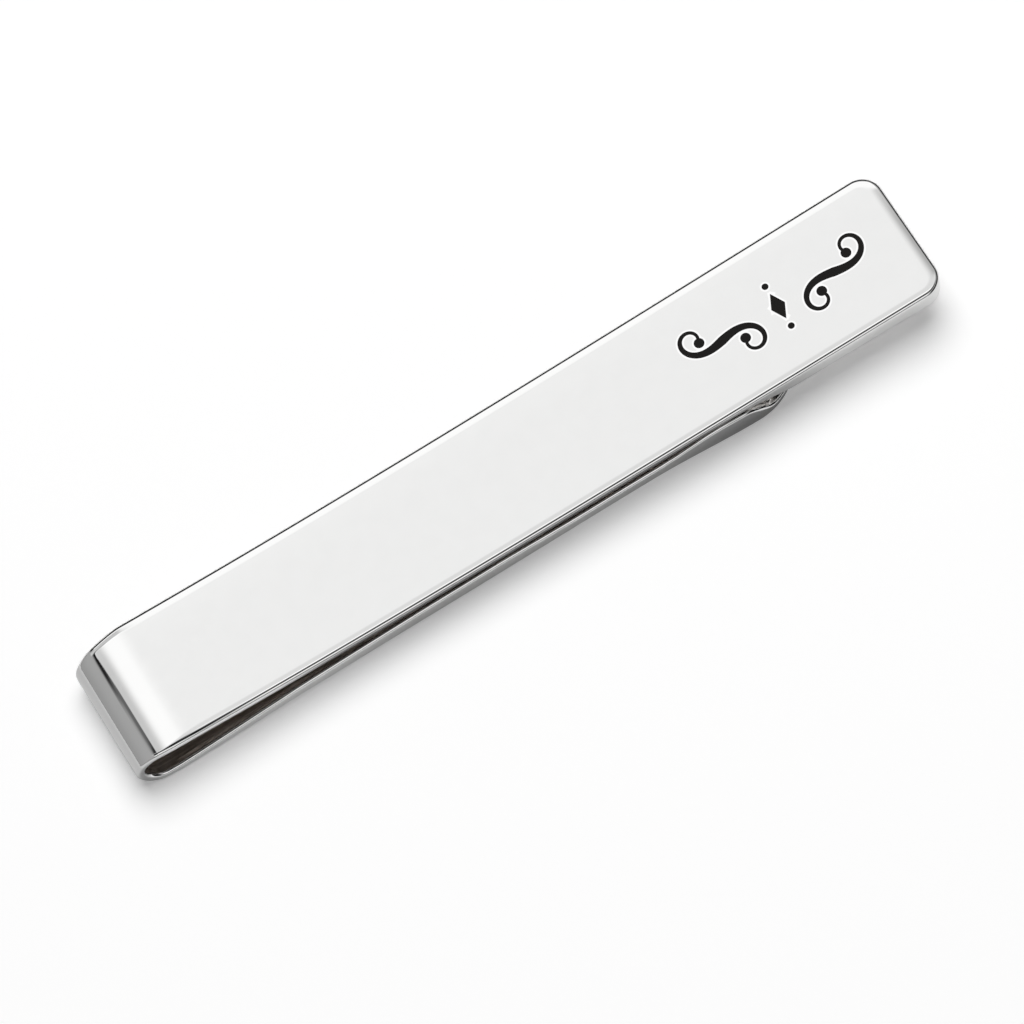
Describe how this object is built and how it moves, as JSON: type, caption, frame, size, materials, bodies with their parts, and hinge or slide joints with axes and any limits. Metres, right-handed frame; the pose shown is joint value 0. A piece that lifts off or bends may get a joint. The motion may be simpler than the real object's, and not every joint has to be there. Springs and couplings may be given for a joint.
{
  "type": "tie clip",
  "caption": "Slide-on tie clip folded from a polished metal strip: bowed front plate with an inlaid black scroll ornament, rounded fold and sprung leg with a lead-in tip.",
  "frame": {"origin": "under the middle of the clip's length and width, on the surface it lies on", "axes": "+X along the clip from the fold to the free end, +Z out of the front face, +Y across the clip"},
  "size_m": [0.056, 0.0088, 0.0038],
  "materials": {
    "polished_metal": "mirror polished, fine rubbing marks inside the fold",
    "black_fill": "satin black fill in an engraved recess"
  },
  "bodies": {
    "bar": {"front_plate": "polished_metal", "fold_bow": "polished_metal", "left_scroll_fill": "black_fill", "right_scroll_fill": "black_fill", "centre_fill": "black_fill"},
    "leg": {"spring_leg": "polished_metal", "lead_in_tip": "polished_metal"}
  },
  "joints": [
    {"name": "leg_flex", "type": "hinge", "parent": "bar", "child": "leg", "pos_m": [-0.02625, 0, 0.0003], "axis": [0, 1, 0], "range_deg": [0, 4], "stiffness_Nm_per_rad": 1.2, "springref_deg": -1.15}
  ]
}
